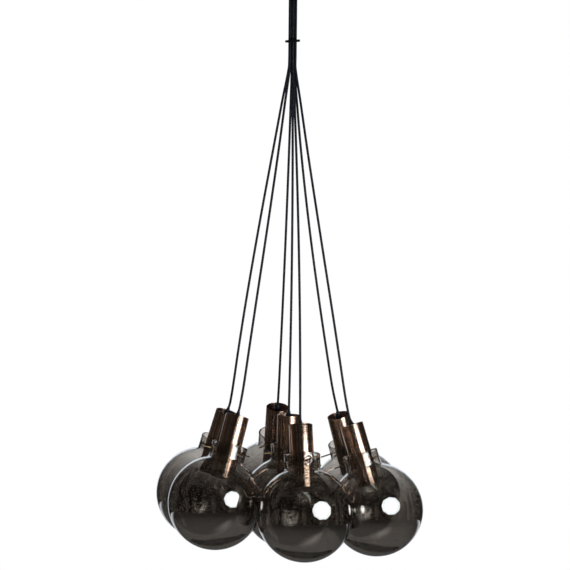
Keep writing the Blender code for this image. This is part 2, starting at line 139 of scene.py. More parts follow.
def newMaterial(name):
    # Returns the material, its tree and its Principled shader
    made = bpy.data.materials.new(name)
    made.use_nodes = True
    return made, made.node_tree, made.node_tree.nodes["Principled BSDF"]


def smokedMirrorGlass(look):
    # Blown soda-lime glass, smoked and vacuum-metallised inside: the film mirrors the room on the dark
    # belly and thins out up the shoulder, so the neck stays almost clear.
    made, tree, shader = newMaterial("smoked_mirror_glass")
    place = addNode(tree, "Attribute", {"attribute_name": "ownPlace"}).outputs["Vector"]
    height = addNode(tree, "SeparateXYZ", None, {0: place}).outputs["Z"]
    cloud = addNode(tree, "TexNoise", None, {"Vector": place, "Scale": 1 / look["cloudSize"]})
    shift = addNode(
        tree, "MapRange", None,
        {0: cloud.outputs[0], 3: -look["cloudShift"], 4: look["cloudShift"]},
    )
    level = addNode(tree, "Math", {"operation": "ADD"}, {0: height, 1: shift.outputs[0]})
    rise = addNode(tree, "MapRange", None, {0: level.outputs[0], 1: look["filmStart"], 2: look["filmEnd"]})
    thin = addNode(tree, "Math", {"operation": "POWER"}, {0: rise.outputs[0], 1: look["filmCurve"]})
    collar = addNode(tree, "MapRange", None, {0: height, 1: look["collarStart"], 2: look["collarEnd"]})
    upper = addNode(
        tree, "Mix", {"data_type": "RGBA"},
        {0: collar.outputs[0], 6: fromHex(look["clear"]), 7: fromHex(look["neck"])},
    )
    tint = addNode(
        tree, "Mix", {"data_type": "RGBA"},
        {0: thin.outputs[0], 6: fromHex(look["smoky"]), 7: upper.outputs[2]},
    )
    mirror = addNode(tree, "MapRange", None, {0: thin.outputs[0], 3: look["mirror"], 4: look["neckMirror"]})
    grain = addNode(tree, "TexNoise", None, {"Vector": place, "Scale": 1 / look["grainSize"]})
    patchy = addNode(
        tree, "MapRange", None,
        {
            0: grain.outputs[0], 1: look["grainFrom"], 2: look["grainTo"],
            3: 1.0 - look["grainShare"], 4: 1.0 + look["grainShare"],
        },
    )
    film = addNode(tree, "Math", {"operation": "MULTIPLY"}, {0: mirror.outputs[0], 1: patchy.outputs[0]})
    wave = addNode(tree, "TexNoise", None, {"Vector": place, "Scale": 1 / look["waveSize"]})
    bump = addNode(
        tree, "Bump", None,
        {"Strength": look["waveStrength"], "Distance": look["waveDepth"], "Height": wave.outputs[0]},
    )
    tree.links.new(tint.outputs[2], shader.inputs["Base Color"])
    tree.links.new(film.outputs[0], shader.inputs["Metallic"])
    tree.links.new(bump.outputs[0], shader.inputs["Normal"])
    shader.inputs["Transmission Weight"].default_value = 1.0
    shader.inputs["IOR"].default_value = 1.5
    shader.inputs["Roughness"].default_value = 0.0
    return made


def polishedCopper(look):
    # Drawn copper tube, polished on a lathe to a mirror. The draw marks run down the tube and break the room
    # up into fine upright streaks; the polisher's turning lines smear each streak along its length.
    # Broader upright streaks of darker and paler colour over it are painted reflection.
    made, tree, shader = newMaterial("polished_copper")
    place = addNode(tree, "Attribute", {"attribute_name": "ownPlace"}).outputs["Vector"]
    down = addNode(tree, "Mapping", None, {"Vector": place, "Scale": (1, 1, look["drawRatio"])}).outputs[0]
    drawn = addNode(
        tree, "TexNoise", None,
        {"Vector": down, "Scale": 1 / look["drawSize"], "Detail": look["drawDetail"]},
    )
    around = addNode(
        tree, "Mapping", None,
        {"Vector": place, "Scale": (look["turnRatio"], look["turnRatio"], 1)},
    )
    turned = addNode(tree, "TexNoise", None, {"Vector": around.outputs[0], "Scale": 1 / look["turnSize"]})
    marks = addNode(
        tree, "Bump", None,
        {"Strength": 1.0, "Distance": look["drawDepth"], "Height": drawn.outputs[0]},
    )
    polish = addNode(
        tree, "Bump", None,
        {
            "Strength": 1.0,
            "Distance": look["turnDepth"],
            "Height": turned.outputs[0],
            "Normal": marks.outputs[0],
        },
    )
    # Painted reflection: broad upright streaks swing the copper's colour between a darker and a paler tone
    paintedReflectionStreaks = addNode(
        tree, "TexNoise", None,
        {"Vector": down, "Scale": 1 / look["streakSize"], "Detail": look["streakDetail"]},
    )
    streak = addNode(
        tree, "MapRange", None,
        {0: paintedReflectionStreaks.outputs[0], 1: look["streakFrom"], 2: look["streakTo"]},
    )
    toned = addNode(
        tree, "Mix", {"data_type": "RGBA"},
        {0: streak.outputs[0], 6: fromHex(look["deep"]), 7: fromHex(look["bright"])},
    )
    haze = addNode(tree, "TexNoise", None, {"Vector": place, "Scale": 1 / look["hazeSize"]})
    rough = addNode(tree, "MapRange", None, {0: haze.outputs[0], 3: look["smooth"], 4: look["hazy"]})
    tree.links.new(toned.outputs[2], shader.inputs["Base Color"])
    tree.links.new(rough.outputs[0], shader.inputs["Roughness"])
    tree.links.new(polish.outputs[0], shader.inputs["Normal"])
    shader.inputs["Metallic"].default_value = 1.0
    return made


def workedSurface(name, look):
    # An opaque finish: a mottle in colour and gloss, stretched the way it was worked, over a fine relief
    made, tree, shader = newMaterial(name)
    place = addNode(tree, "Attribute", {"attribute_name": "ownPlace"}).outputs["Vector"]
    worked = addNode(tree, "Mapping", None, {"Vector": place, "Scale": look["stretch"]}).outputs[0]
    mottle = addNode(tree, "TexNoise", None, {"Vector": worked, "Scale": 1 / look["mottleSize"]})
    relief = addNode(tree, "TexNoise", None, {"Vector": worked, "Scale": 1 / look["reliefSize"]})
    toned = addNode(
        tree, "Mix", {"data_type": "RGBA"},
        {0: mottle.outputs[0], 6: fromHex(look["dark"]), 7: fromHex(look["light"])},
    )
    rough = addNode(tree, "MapRange", None, {0: mottle.outputs[0], 3: look["smooth"], 4: look["rough"]})
    bump = addNode(
        tree, "Bump", None,
        {"Strength": look["bump"], "Distance": look["reliefDepth"], "Height": relief.outputs[0]},
    )
    tree.links.new(toned.outputs[2], shader.inputs["Base Color"])
    tree.links.new(rough.outputs[0], shader.inputs["Roughness"])
    tree.links.new(bump.outputs[0], shader.inputs["Normal"])
    if look["metal"]:
        shader.inputs["Metallic"].default_value = 1.0
    else:
        shader.inputs["IOR"].default_value = look["ior"]
    return made


# Lengths are in metres. The film's levels are above the globe's centre
glassLook = {
    "smoky": "#CDC8C3",
    "clear": "#FBF9F6",
    "neck": "#D8D2CD",
    "mirror": 0.47,
    "neckMirror": 0.11,
    "filmStart": -0.014,
    "filmEnd": 0.079,
    "filmCurve": 1.2,
    "collarStart": 0.090,
    "collarEnd": 0.104,
    "cloudSize": 0.060,
    "cloudShift": 0.010,
    "grainSize": 0.0016,  # the film's pinholes are finer; this is as coarse as they need to show
    "grainFrom": 0.3,
    "grainTo": 0.7,
    "grainShare": 0.15,
    "waveSize": 0.050,
    "waveStrength": 0.10,
    "waveDepth": 0.001,
}
copperLook = {
    # The two colours of the painted reflection streaks down the tube
    "deep": "#B49484",
    "bright": "#FADCC4",
    "streakSize": 0.0045,
    "streakDetail": 2.0,
    "streakFrom": 0.38,
    "streakTo": 0.58,
    "drawRatio": 0.01,
    "drawSize": 0.0016,  # real draw and polishing marks are finer; these are coarse enough to show
    "drawDetail": 3.0,
    "drawDepth": 0.00008,
    "turnRatio": 0.02,
    "turnSize": 0.0012,
    "turnDepth": 0.00055,
    "hazeSize": 0.030,
    "smooth": 0.02,
    "hazy": 0.06,
}
# Brass, turned: fine tool marks soften a warm yellow shine
brassLook = {
    "metal": True,
    "dark": "#8C7656",
    "light": "#BBA67E",
    "stretch": (1, 1, 1),
    "mottleSize": 0.0006,  # coarser than real tool marks, so that they show
    "reliefSize": 0.0006,
    "reliefDepth": 0.0002,
    "smooth": 0.14,
    "rough": 0.26,
    "bump": 0.15,
}
# Copper tube's inside, left as drawn: dull, with lines down it
boreLook = dict(
    brassLook, dark="#896F65", light="#AA8C7E", stretch=(1, 1, 0.05), mottleSize=0.002, reliefSize=0.002,
    smooth=0.35, rough=0.5,
)
# Nickel plate on the bulb's cap: paler and cooler than brass, with a softer shine
nickelLook = dict(brassLook, dark="#B9B6AE", light="#DCD9D2", smooth=0.18, rough=0.3)
# Zinc plate on bent steel strip: cool grey and cloudy
zincLook = dict(
    brassLook, dark="#9DA1A6", light="#C9CDD1", mottleSize=0.004, reliefSize=0.004, smooth=0.25, rough=0.42,
)
# Synthetic rubber, moulded: blue-black with a low, even gloss
rubberLook = {
    "metal": False,
    "dark": "#0D0F16",
    "light": "#171A24",
    "stretch": (1, 1, 1),
    "mottleSize": 0.004,
    "reliefSize": 0.0005,
    "reliefDepth": 0.0002,
    "smooth": 0.40,
    "rough": 0.55,
    "bump": 0.15,
    "ior": 1.5,
}
# PVC cable sheath, extruded: blue-black and matt, with faint lines along it
sheathLook = dict(
    rubberLook, dark="#0E111C", light="#171B28", stretch=(1, 1, 0.08), smooth=0.5, rough=0.62, bump=0.05,
)
# Porcelain, fired with a clear glaze: warm white under a hard gloss
porcelainLook = dict(rubberLook, dark="#E2DED5", light="#F0EDE6", smooth=0.12, rough=0.22, bump=0.05)
# Opal glass, blown: milk white and glossy
opalLook = dict(porcelainLook, dark="#ECE9E1", light="#F6F4EF")
# Nylon, moulded: off-white with a satin gloss
nylonLook = dict(rubberLook, dark="#DAD9D3", light="#E8E7E2", smooth=0.35, rough=0.48, bump=0.1)
# Powder coat, baked on: black, with a slight orange peel
paintLook = dict(
    rubberLook, dark="#0E0E10", light="#151518", reliefSize=0.0012, smooth=0.30, rough=0.42, bump=0.25,
)
# Matt paint, sprayed: a flat black that hardly shines even edge-on
mattLook = dict(rubberLook, dark="#08080A", light="#0D0D10", smooth=0.8, rough=0.9, ior=1.3)

glassFinish = smokedMirrorGlass(glassLook)
copperFinish = polishedCopper(copperLook)
boreFinish = workedSurface("dull_copper_bore", boreLook)
brassFinish = workedSurface("turned_brass", brassLook)
nickelFinish = workedSurface("nickel_plated_cap", nickelLook)
zincFinish = workedSurface("zinc_plated_steel", zincLook)
rubberFinish = workedSurface("moulded_black_rubber", rubberLook)
sheathFinish = workedSurface("extruded_black_sheath", sheathLook)
porcelainFinish = workedSurface("glazed_porcelain", porcelainLook)
opalFinish = workedSurface("opal_glass", opalLook)
nylonFinish = workedSurface("moulded_nylon", nylonLook)
paintFinish = workedSurface("black_powder_coat", paintLook)
mattFinish = workedSurface("matt_black_paint", mattLook)
print("materials made")


# Mesh work that every piece shares
mesh = {
    "merge": 1e-6,
    "sharpAngle": math.radians(35.0),
    "patchReach": 1.01,  # of a hole's patch, so that rounding leaves out none of its faces
    "lipDepth": 0.0003,  # of a drilled hole's broken rim
}


def turnedBody(profile, steps, closed=False):
    # Spins an outline of (radius, height) points about z; closed joins its last point to its first
    bm = bmesh.new()
    ring = [bm.verts.new((radius, 0, height)) for radius, height in profile]
    edges = [bm.edges.new(pair) for pair in zip(ring, ring[1:])]
    if closed:
        edges.append(bm.edges.new((ring[-1], ring[0])))
    bmesh.ops.spin(
        bm, geom=ring + edges, cent=(0, 0, 0), axis=(0, 0, 1), angle=math.tau, steps=steps, use_merge=True
    )
    bmesh.ops.remove_doubles(bm, verts=bm.verts, dist=mesh["merge"])
    bmesh.ops.recalc_face_normals(bm, faces=bm.faces)
    return bm


def arcPoints(centre, radius, first, last, count):
    # Points of an arc as (radius, height), with angles in degrees from the horizontal
    angles = [math.radians(first + (last - first) * step / count) for step in range(count + 1)]
    return [(centre[0] + radius * math.cos(a), centre[1] + radius * math.sin(a)) for a in angles]


def softenEdges(bm, width, segments=2):
    # Rounds every edge that turns more sharply than the shading angle
    sharp = [e for e in bm.edges if e.is_manifold and e.calc_face_angle(0) > mesh["sharpAngle"]]
    bmesh.ops.bevel(
        bm, geom=sharp, offset=width, offset_type="OFFSET", segments=segments, profile=0.5,
        affect="EDGES", material=-1, clamp_overlap=True,
    )


def openHole(bm, bearing, hole):
    # Opens a round hole through a double wall: a patch of faces goes, and its edges are drawn into rings
    out = Vector((math.cos(bearing), math.sin(bearing), 0))
    side = Vector((-out.y, out.x, 0))
    half = hole["patch"] * mesh["patchReach"]

    def near(point):
        return point.dot(out) > 0 and abs(point.dot(side)) < half and abs(point.z - hole["level"]) < half

    patch = [face for face in bm.faces if near(face.calc_center_median())]
    bmesh.ops.delete(bm, geom=patch, context="FACES")
    halfway = (hole["outerRadius"] + hole["innerRadius"]) / 2
    edges = [e for e in bm.edges if e.is_boundary and near((e.verts[0].co + e.verts[1].co) / 2)]
    lips = []
    for wall, rings in (("outerRadius", hole["outerRings"]), ("innerRadius", hole["innerRings"])):
        outer = wall == "outerRadius"
        loop = [e for e in edges if (e.verts[0].co.to_2d().length > halfway) == outer]
        for index, (radius, lift) in enumerate(rings):
            if index:
                grown = bmesh.ops.extrude_edge_only(bm, edges=loop)["geom"]
                fresh = {v for v in grown if isinstance(v, bmesh.types.BMVert)}
                loop = [e for e in bm.edges if e.verts[0] in fresh and e.verts[1] in fresh and e.is_boundary]
            for vert in {v for e in loop for v in e.verts}:
                turn = math.atan2(vert.co.z - hole["level"], vert.co.dot(side))
                across = radius * math.cos(turn)
                depth = math.sqrt((hole[wall] + lift) ** 2 - across**2)
                if outer and index and "flat" in hole:
                    depth = hole["flat"] + lift
                vert.co = out * depth + side * across
                vert.co.z = hole["level"] + radius * math.sin(turn)
        lips += loop
    bmesh.ops.bridge_loops(bm, edges=lips)


def patchRows(level, column, count):
    # Heights of the rows across a hole's patch, as far apart as the columns are
    return [level + column * step for step in range(-count, count + 1)]


def drilledHole(radius, lipWidth, place):
    # A round hole whose rims, outside and inside the wall, are broken
    return dict(
        place,
        outerRings=((radius + lipWidth, 0.0), (radius, -mesh["lipDepth"])),
        innerRings=((radius + lipWidth, 0.0), (radius, mesh["lipDepth"])),
    )


def holedPlate(outline, holes, stages, steps=20):
    # A plate with round holes through it, built up in stages of (scale of the outline, height)
    bm = bmesh.new()
    rim = [bm.verts.new((x, y, stages[0][1])) for x, y in outline]
    for index, vert in enumerate(rim):
        bm.edges.new((vert, rim[index - 1]))
    for x, y, radius in holes:
        place = Matrix.Translation((x, y, stages[0][1]))
        bmesh.ops.create_circle(bm, segments=steps, radius=radius, matrix=place)
    bmesh.ops.triangle_fill(bm, use_beauty=True, edges=bm.edges)
    top = list(bm.faces)
    count = len(rim)
    for scale, height in stages[1:]:
        grown = bmesh.ops.extrude_face_region(bm, geom=top)["geom"]
        top = [f for f in grown if isinstance(f, bmesh.types.BMFace)]
        fresh = [v for v in grown if isinstance(v, bmesh.types.BMVert)]
        for vert in fresh:
            vert.co.z = height
        far = sorted(fresh, key=lambda v: -v.co.to_2d().length)[:count]
        for vert, (x, y) in zip(sorted(far, key=angleOf), sorted(outline, key=angleOfPoint)):
            vert.co.x = x * scale
            vert.co.y = y * scale
    bmesh.ops.remove_doubles(bm, verts=bm.verts, dist=mesh["merge"])
    bmesh.ops.recalc_face_normals(bm, faces=bm.faces)
    return bm


def angleOf(vert):
    return angleOfPoint(vert.co)


def angleOfPoint(point):
    return round(math.atan2(point[1], point[0]), 4)


def circleOutline(radius, steps):
    turns = [math.tau * index / steps for index in range(steps)]
    return [(radius * math.cos(turn), radius * math.sin(turn)) for turn in turns]


def boxOutline(length, width):
    return [(-length, -width), (length, -width), (length, width), (-length, width)]


def finishPiece(bm, name, finishes, place=None, sharp=True):
    # Makes the object: its own coordinates are kept in an attribute before its place goes into the mesh
    data = bpy.data.meshes.new(name)
    bm.to_mesh(data)
    bm.free()
    own = data.attributes.new("ownPlace", "FLOAT_VECTOR", "POINT")
    own.data.foreach_set("vector", [value for vert in data.vertices for value in vert.co])
    if place:
        data.transform(place)
    data.shade_smooth()
    if sharp:
        data.set_sharp_from_angle(angle=mesh["sharpAngle"])
    for finish in finishes:
        data.materials.append(finish)
    made = bpy.data.objects.new(name, data)
    scene.collection.objects.link(made)
    return made


def attach(piece, body, slot, *nodes):
    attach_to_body(piece, body)
    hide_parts(*nodes)


# Cables: each is one round cable from the connector block to its grip
cable = {
    "radius": 0.0026,
    "top": -0.0166,
    "straightEnd": 0.012,
    "intoGrip": 0.004,
    "gripTop": 0.19925,  # above the globe's centre, along the pendant
    "spacing": 0.006,  # between the points of the finished line
    "sides": 6,  # bevel resolution of the round section
    "upperShares": (0.0, 0.25, 0.5, 0.75, 0.93),  # of the stretch down to the pivot
    "routeShares": (  # of the drop and the reach below the pivot
        (0.03, 0.006),
        (0.12, 0.105),
        (0.25, 0.240),
        (0.40, 0.398),
        (0.55, 0.553),
        (0.70, 0.703),
        (0.83, 0.825),
        (0.93, 0.914),
    ),
    "bowShares": (0.05, 0.034, 0.130, 0.05, -0.017, 0.046),  # of its reach, how far each bows inwards
    "sideBows": (0.0052, 0.0, 0.0, 0.0014, 0.0, 0.0),  # metres that each bows to the right
    "middleBow": 0.0034,
    "middleSteps": 16,
    "bendReach": 0.015,  # the stretch above and below the pivot that bends as a pendant swings
}


def inBundle(index, level):
    # A point on an outer cable where the seven run side by side
    return outwardWay(bearingOf(index)) * cluster["cablePitch"] + Vector((0, 0, level))


def bowAt(share):
    # 0 at both ends of a stretch and 1 halfway
    return 4 * share * (1 - share)


def outerRoute(index, label):
    out = outwardWay(bearingOf(index))
    top = inBundle(index, cable["top"])
    pivot = inBundle(index, cluster["pivotLevel"])
    axis = places[label].to_3x3() @ Vector((0, 0, 1))
    end = places[label].translation + axis * cable["gripTop"]
    points = [top.lerp(pivot, share) for share in cable["upperShares"]] + [pivot]
    reach = (end - pivot).dot(out)
    drop = end.z - pivot.z
    for dropShare, reachShare in cable["routeShares"]:
        bow = cable["bowShares"][index] * bowAt(dropShare)
        side = cable["sideBows"][index] * bowAt(dropShare)
        points.append(pivot + out * reach * (reachShare - bow) + Vector((side, 0, drop * dropShare)))
    return points + [end + axis * cable["straightEnd"], end, end - axis * cable["intoGrip"]]


def middleRoute():
    top = Vector((0, 0, cable["top"]))
    end = places["middle"].translation + Vector((0, 0, cable["gripTop"] - cable["intoGrip"]))
    points = [top.lerp(end, step / cable["middleSteps"]) for step in range(cable["middleSteps"] + 1)]
    for point in points:
        share = max(0, (cluster["pivotLevel"] - point.z) / (cluster["pivotLevel"] - end.z))
        point.x += cable["middleBow"] * bowAt(share)
    return points


def smoothRoute(points):
    # A smooth curve through the route's points, as close-set as the cable's spacing says
    ends = [points[0] * 2 - points[1]] + points + [points[-1] * 2 - points[-2]]
    fine = []
    for before, here, after, beyond in zip(ends, ends[1:], ends[2:], ends[3:]):
        count = max(1, round((after - here).length / cable["spacing"]))
        span = (after - here).length
        leave = (after - before) * span / ((after - here).length + (here - before).length)
        reach = (beyond - here) * span / ((after - here).length + (beyond - after).length)
        for step in range(count):
            t = step / count
            fine.append(
                here * (2 * t**3 - 3 * t**2 + 1)
                + leave * (t**3 - 2 * t**2 + t)
                + after * (3 * t**2 - 2 * t**3)
                + reach * (t**3 - t**2)
            )
    return fine + [points[-1]]


def cableTube(label, route):
    curve = bpy.data.curves.new(f"{label}_line", "CURVE")
    curve.dimensions = "3D"
    curve.bevel_depth = cable["radius"]
    curve.bevel_resolution = cable["sides"]
    curve.use_fill_caps = True
    spline = curve.splines.new("POLY")
    spline.points.add(len(route) - 1)
    for target, point in zip(spline.points, route):
        target.co = (*point, 1)
    line = bpy.data.objects.new(f"{label}_line", curve)
    scene.collection.objects.link(line)
    bm = bmesh.new()
    bm.from_mesh(line.to_mesh())
    bpy.data.objects.remove(line)
    bmesh.ops.remove_doubles(bm, verts=bm.verts, dist=mesh["merge"])
    bmesh.ops.recalc_face_normals(bm, faces=bm.faces)
    return finishPiece(bm, f"{label}_round_cable", [sheathFinish])


def lengthOf(route):
    return sum((after - here).length for here, after in zip(route, route[1:]))


def layCable(label, route):
    print(f"{label} cable: {lengthOf(route):.3f} m")


def makeCables():
    for index, label in enumerate(cluster["names"]):
        route = smoothRoute(outerRoute(index, label))
        piece = cableTube(label, route)
        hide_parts(f"{label}_cable", f"{label}_cable_upper")
        layCable(label, route)
        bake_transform(piece)
    route = smoothRoute(middleRoute())
    piece = cableTube("middle", route)
    attach(piece, "ceiling_fitting", "black_cable_sheath", "middle_cable")
    layCable("middle", route)


makeCables()


# Glass globe: one blown piece, with a cylindrical neck and three holes drilled through ground flats
globe = {
    "radius": cluster["globeRadius"],
    "wall": 0.003,
    "neckRadius": 0.038,
    "neckTop": 0.127,
    "filletRadius": 0.0075,
    "beadRadius": 0.0019,
    "beadArc": (-30, 210, 12),  # its first and last angle, and its steps
    "steps": 120,
    "ballRows": 56,
    "filletRows": 5,
    "patchColumns": 4,
    "holeLevel": 0.10775,
    "holeRings": (  # radius of each ring round a hole, and how far it stands out
        (0.0080, 0.0),
        (0.0077, 0.0),
        (0.0074, 0.0),
        (0.0047, 0.0),
        (0.0043, -0.0001),
        (0.0040, -0.0006),
    ),
    "innerRings": ((0.0070, 0.0), (0.0056, -0.0002), (0.0045, 0.0), (0.0040, 0.0008)),
    "flat": 0.0373,  # from the neck's middle line to the ground face round each hole
}


def globeBody():
    radius, wall, neck, fillet = globe["radius"], globe["wall"], globe["neckRadius"], globe["filletRadius"]
    across = neck + fillet
    corner = (across, math.sqrt((radius + fillet) ** 2 - across**2))
    meet = math.degrees(math.atan2(corner[1], corner[0]))
    column = math.tau * neck / globe["steps"]
    rows = patchRows(globe["holeLevel"], column, globe["patchColumns"])
    bead = (neck - wall / 2, globe["neckTop"] - globe["beadRadius"])
    rows.append(bead[1] - 2 * globe["beadRadius"])
    outer = arcPoints((0, 0), radius, -90, meet, globe["ballRows"])
    outer += arcPoints(corner, fillet, 180 + meet, 180, globe["filletRows"])[1:]
    outer += [(neck, row) for row in rows]
    rim = arcPoints(bead, globe["beadRadius"], *globe["beadArc"])
    inner = [(neck - wall, row) for row in reversed(rows)]
    inner += arcPoints(corner, fillet + wall, 180, 180 + meet, globe["filletRows"])
    inner += arcPoints((0, 0), radius - wall, meet, -90, globe["ballRows"])[1:]
    outer[0] = (0, -radius)
    inner[-1] = (0, wall - radius)
    bm = turnedBody(outer + rim + inner, globe["steps"])
    hole = {
        "patch": column * globe["patchColumns"],
        "level": globe["holeLevel"],
        "outerRadius": neck,
        "innerRadius": neck - wall,
        "outerRings": globe["holeRings"],
        "innerRings": globe["innerRings"],
        "flat": globe["flat"],
    }
    for index in range(cluster["pins"]):
        openHole(bm, math.tau * index / cluster["pins"], hole)
    bmesh.ops.recalc_face_normals(bm, faces=bm.faces)
    return bm


# Copper tube: drawn tube with a bridge plate pressed in, which everything hangs from
tube = {
    "radius": 0.025,
    "wall": 0.0012,
    "top": 0.18975,
    "bottom": 0.05425,
    "bridgeTop": 0.15975,
    "bridgeThickness": 0.002,
    "nippleHole": 0.0053,
    "steps": 96,
    "patchColumns": 2,
    "pinLevel": 0.10975,
    "pinHole": 0.0020,
    "lipWidth": 0.0005,
    "edge": 0.00045,
    "edgeSteps": 3,
}


def tubeBody():
    radius, bore = tube["radius"], tube["radius"] - tube["wall"]
    column = math.tau * radius / tube["steps"]
    rows = patchRows(tube["pinLevel"], column, tube["patchColumns"])
    bridgeTop, eye = tube["bridgeTop"], tube["nippleHole"]
    bridgeBottom = bridgeTop - tube["bridgeThickness"]
    profile = [(bore, tube["bottom"]), (radius, tube["bottom"])]
    profile += [(radius, row) for row in rows]
    profile += [(radius, tube["top"]), (bore, tube["top"]), (bore, bridgeTop)]
    profile += [(eye, bridgeTop), (eye, bridgeBottom), (bore, bridgeBottom)]
    profile += [(bore, row) for row in reversed(rows)]
    bm = turnedBody(profile, tube["steps"], closed=True)
    softenEdges(bm, tube["edge"], tube["edgeSteps"])
    place = {
        "patch": column * tube["patchColumns"],
        "level": tube["pinLevel"],
        "outerRadius": radius,
        "innerRadius": bore,
    }
    hole = drilledHole(tube["pinHole"], tube["lipWidth"], place)
    for index in range(cluster["pins"]):
        openHole(bm, math.tau * index / cluster["pins"], hole)
    bmesh.ops.recalc_face_normals(bm, faces=bm.faces)
    for face in bm.faces:
        # Everything inside stays as it was drawn, up to the polished rim
        middle = face.calc_center_median()
        inside = middle.to_2d().length < bore + tube["edge"] / 4
        face.material_index = int(inside and middle.z < tube["top"] - tube["edge"])
    return bm


# Brass pins: three turned rods screwed into a ring that sits inside the tube
pins = {
    "level": tube["pinLevel"],
    "radius": 0.0015,
    "tip": 0.062,
    "shortTip": 0.040,  # left_back's pins end just outside its neck
    "sides": 24,
    "endAngle": math.radians(60.0),  # an edge that turns more than this is the rim of an end
    "chamfer": 0.0004,
    "chamferSteps": 3,
    "ringOuter": 0.0235,
    "ringInner": 0.018,
    "ringHeight": 0.008,
    "ringSteps": 72,
}


def pinsBody(tip):
    inner, outer = pins["ringInner"], pins["ringOuter"]
    half = pins["ringHeight"] / 2
    low, high = pins["level"] - half, pins["level"] + half
    ring = [(inner, low), (outer, low), (outer, high), (inner, high)]
    bm = turnedBody(ring, pins["ringSteps"], closed=True)
    softenEdges(bm, pins["chamfer"])
    root = (inner + outer) / 2
    for index in range(cluster["pins"]):
        turn = Matrix.Rotation(math.tau * index / cluster["pins"], 4, "Z")
        lie = Matrix.Translation(((root + tip) / 2, 0, pins["level"])) @ Matrix.Rotation(math.pi / 2, 4, "Y")
        made = bmesh.ops.create_cone(
            bm, cap_ends=True, segments=pins["sides"], radius1=pins["radius"], radius2=pins["radius"],
            depth=tip - root, matrix=turn @ lie,
        )
        edges = dict.fromkeys(e for v in made["verts"] for e in v.link_edges)  # each once, in order
        ends = [e for e in edges if e.calc_face_angle(0) > pins["endAngle"]]
        bmesh.ops.bevel(
            bm, geom=ends, offset=pins["chamfer"], offset_type="OFFSET",
            segments=pins["chamferSteps"], profile=0.5, affect="EDGES", material=-1,
        )
    return bm


# Cord grip: a moulded trumpet that clamps the cable, on a sleeve that stands on the bridge
grip = {
    "top": cable["gripTop"],
    "tubeTop": tube["top"],
    "radius": 0.0072,
    "tipRadius": 0.0034,
    "bore": 0.0029,
    "boreDepth": 0.008,
    "lipSteps": 4,
    "collarDepth": 0.001,  # full width below the tube's top
    "sleeveInset": 0.0006,
    "insetSlope": 0.001,
    "foot": 0.16005,
    "footHeight": 0.002,
    "nippleRadius": 0.005,
    "nippleBottom": 0.15175,
    "threadPitch": 0.001,
    "threadDepth": 0.0004,
    "flareShares": (  # of its rise and its spread, from the tip down
        (0.8, 0.04),
        (0.6, 0.12),
        (0.45, 0.22),
        (0.3, 0.38),
        (0.18, 0.6),
        (0.08, 0.84),
        (0.0, 1.0),
    ),
    "steps": 48,
}


def gripBody():
    rise = grip["top"] - grip["tubeTop"]
    spread = grip["radius"] - grip["tipRadius"]
    lip = (grip["tipRadius"] - grip["bore"]) / 2
    profile = [(0, grip["top"] - grip["boreDepth"]), (grip["bore"], grip["top"] - grip["boreDepth"])]
    profile += arcPoints((grip["bore"] + lip, grip["top"] - lip), lip, 180, 0, grip["lipSteps"])
    for riseShare, spreadShare in grip["flareShares"]:
        profile.append((grip["tipRadius"] + spread * spreadShare, grip["tubeTop"] + rise * riseShare))
    wide, sleeve = grip["radius"], grip["radius"] - grip["sleeveInset"]
    collarBottom, footTop = grip["tubeTop"] - grip["collarDepth"], grip["foot"] + grip["footHeight"]
    profile += [(wide, collarBottom), (sleeve, collarBottom - grip["insetSlope"])]
    profile += [(sleeve, footTop + grip["insetSlope"]), (wide, footTop)]
    crest, root = grip["nippleRadius"], grip["nippleRadius"] - grip["threadDepth"]
    pitch = grip["threadPitch"]
    profile += [(wide, grip["foot"]), (crest, grip["foot"])]
    for index in range(round((grip["foot"] - grip["nippleBottom"]) / pitch) - 1):
        level = grip["foot"] - pitch * (index + 1)
        profile += [(crest, level), (root, level - pitch / 2)]
    profile += [(crest, grip["nippleBottom"]), (0, grip["nippleBottom"])]
    return turnedBody(profile, grip["steps"])


# Lampholder: glazed porcelain, screwed onto the nipple under the bridge
holder = {
    "top": 0.15745,
    "mouth": 0.10945,
    "radius": 0.017,
    "bore": 0.0134,
    "crown": 0.010,
    "socketRadius": 0.0053,
    "socketFloor": 0.15145,
    "shoulder": 0.003,
    "grooveDepth": 0.0006,
    "grooveMouth": 0.0032,
    "grooveFloor": 0.0016,
    "grooveShares": (0.3, 0.45, 0.6),  # of the way down from the top
    "edge": 0.0004,
    "steps": 64,
}


def holderBody():
    radius, groove = holder["radius"], holder["radius"] - holder["grooveDepth"]
    top, mouth = holder["top"], holder["mouth"]
    socket, shoulder = holder["socketRadius"], holder["shoulder"]
    wide, narrow = holder["grooveMouth"] / 2, holder["grooveFloor"] / 2
    profile = [(0, holder["socketFloor"]), (socket, holder["socketFloor"]), (socket, top)]
    profile += [(radius - shoulder, top), (radius, top - shoulder)]
    for share in holder["grooveShares"]:
        level = top + (mouth - top) * share
        profile += [(radius, level + wide), (groove, level + narrow)]
        profile += [(groove, level - narrow), (radius, level - wide)]
    profile += [(radius, mouth), (holder["bore"], mouth)]
    profile += [(holder["bore"], top - holder["crown"]), (0, top - holder["crown"])]
    bm = turnedBody(profile, holder["steps"])
    softenEdges(bm, holder["edge"])
    return bm


